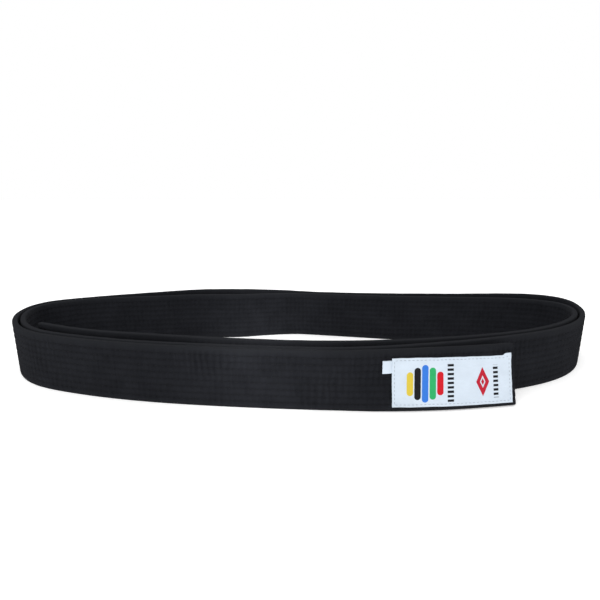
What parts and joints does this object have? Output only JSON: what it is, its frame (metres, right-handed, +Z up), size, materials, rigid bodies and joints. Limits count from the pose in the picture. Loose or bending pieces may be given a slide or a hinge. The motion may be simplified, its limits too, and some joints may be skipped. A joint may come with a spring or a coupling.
{
  "type": "martial arts belt",
  "caption": "Black stitched cotton belt with a woven label, wound into a long loop that stands on its edge and opens at its two ends.",
  "frame": {"origin": "middle of the wound belt's box, on the surface that its lower edge stands on", "axes": "+X along the long loop towards the side where the label is, +Y from the labelled front lap to the back laps, +Z up, across the belt's width"},
  "size_m": [0.4664, 0.168, 0.0401],
  "materials": {
    "cover_cloth": "matt black cotton twill, stitched in rows",
    "core_cloth": "plain black cotton canvas",
    "black_thread": "spun polyester thread",
    "label_satin": "white woven damask label",
    "white_thread": "white sewing thread",
    "tag_tape": "white woven tape"
  },
  "bodies": {
    "winding": {"cover_winding": "cover_cloth", "core_ply_1_winding": "core_cloth", "core_ply_2_winding": "core_cloth", "needle_row_1_winding": "black_thread", "needle_row_2_winding": "black_thread", "needle_row_3_winding": "black_thread", "needle_row_4_winding": "black_thread", "needle_row_5_winding": "black_thread", "needle_row_6_winding": "black_thread", "needle_row_7_winding": "black_thread", "needle_row_8_winding": "black_thread", "bobbin_row_1_winding": "black_thread", "bobbin_row_2_winding": "black_thread", "bobbin_row_3_winding": "black_thread", "bobbin_row_4_winding": "black_thread", "bobbin_row_5_winding": "black_thread", "bobbin_row_6_winding": "black_thread", "bobbin_row_7_winding": "black_thread", "bobbin_row_8_winding": "black_thread"},
    "outer_lap": {"cover_outer_lap": "cover_cloth", "core_ply_1_outer_lap": "core_cloth", "core_ply_2_outer_lap": "core_cloth", "needle_row_1_outer_lap": "black_thread", "needle_row_2_outer_lap": "black_thread", "needle_row_3_outer_lap": "black_thread", "needle_row_4_outer_lap": "black_thread", "needle_row_5_outer_lap": "black_thread", "needle_row_6_outer_lap": "black_thread", "needle_row_7_outer_lap": "black_thread", "needle_row_8_outer_lap": "black_thread", "bobbin_row_1_outer_lap": "black_thread", "bobbin_row_2_outer_lap": "black_thread", "bobbin_row_3_outer_lap": "black_thread", "bobbin_row_4_outer_lap": "black_thread", "bobbin_row_5_outer_lap": "black_thread", "bobbin_row_6_outer_lap": "black_thread", "bobbin_row_7_outer_lap": "black_thread", "bobbin_row_8_outer_lap": "black_thread"},
    "outer_end": {"cover_outer_end": "cover_cloth", "core_ply_1_outer_end": "core_cloth", "core_ply_2_outer_end": "core_cloth", "needle_rows_outer_end": "black_thread", "bobbin_rows_outer_end": "black_thread", "label": "label_satin", "label_stitching": "white_thread"},
    "inner_end": {"cover_inner_end": "cover_cloth", "core_ply_1_inner_end": "core_cloth", "core_ply_2_inner_end": "core_cloth", "needle_rows_inner_end": "black_thread", "bobbin_rows_inner_end": "black_thread"},
    "size_tag": {"size_tag": "tag_tape"}
  },
  "joints": [
    {"name": "outer_lap_bend", "type": "hinge", "parent": "winding", "child": "outer_lap", "pos_m": [-0.1966, -0.04405, 0.02], "axis": [0, 0, -1], "range_deg": [0, 60], "stiffness_Nm_per_rad": 0.03},
    {"name": "outer_end_bend", "type": "hinge", "parent": "outer_lap", "child": "outer_end", "pos_m": [0.02262, -0.08228, 0.02], "axis": [0, 0, -1], "range_deg": [-1, 75], "stiffness_Nm_per_rad": 0.01},
    {"name": "inner_end_bend", "type": "hinge", "parent": "winding", "child": "inner_end", "pos_m": [-0.11073, -0.04592, 0.02], "axis": [0, 0, -1], "range_deg": [-1.5, 50], "stiffness_Nm_per_rad": 0.01},
    {"name": "size_tag_flip", "type": "hinge", "parent": "outer_end", "child": "size_tag", "pos_m": [0.05203, -0.08158, 0.02999], "axis": [-0.0025, 0.1035, 0.9946], "range_deg": [0, 150], "stiffness_Nm_per_rad": 0.00002}
  ]
}
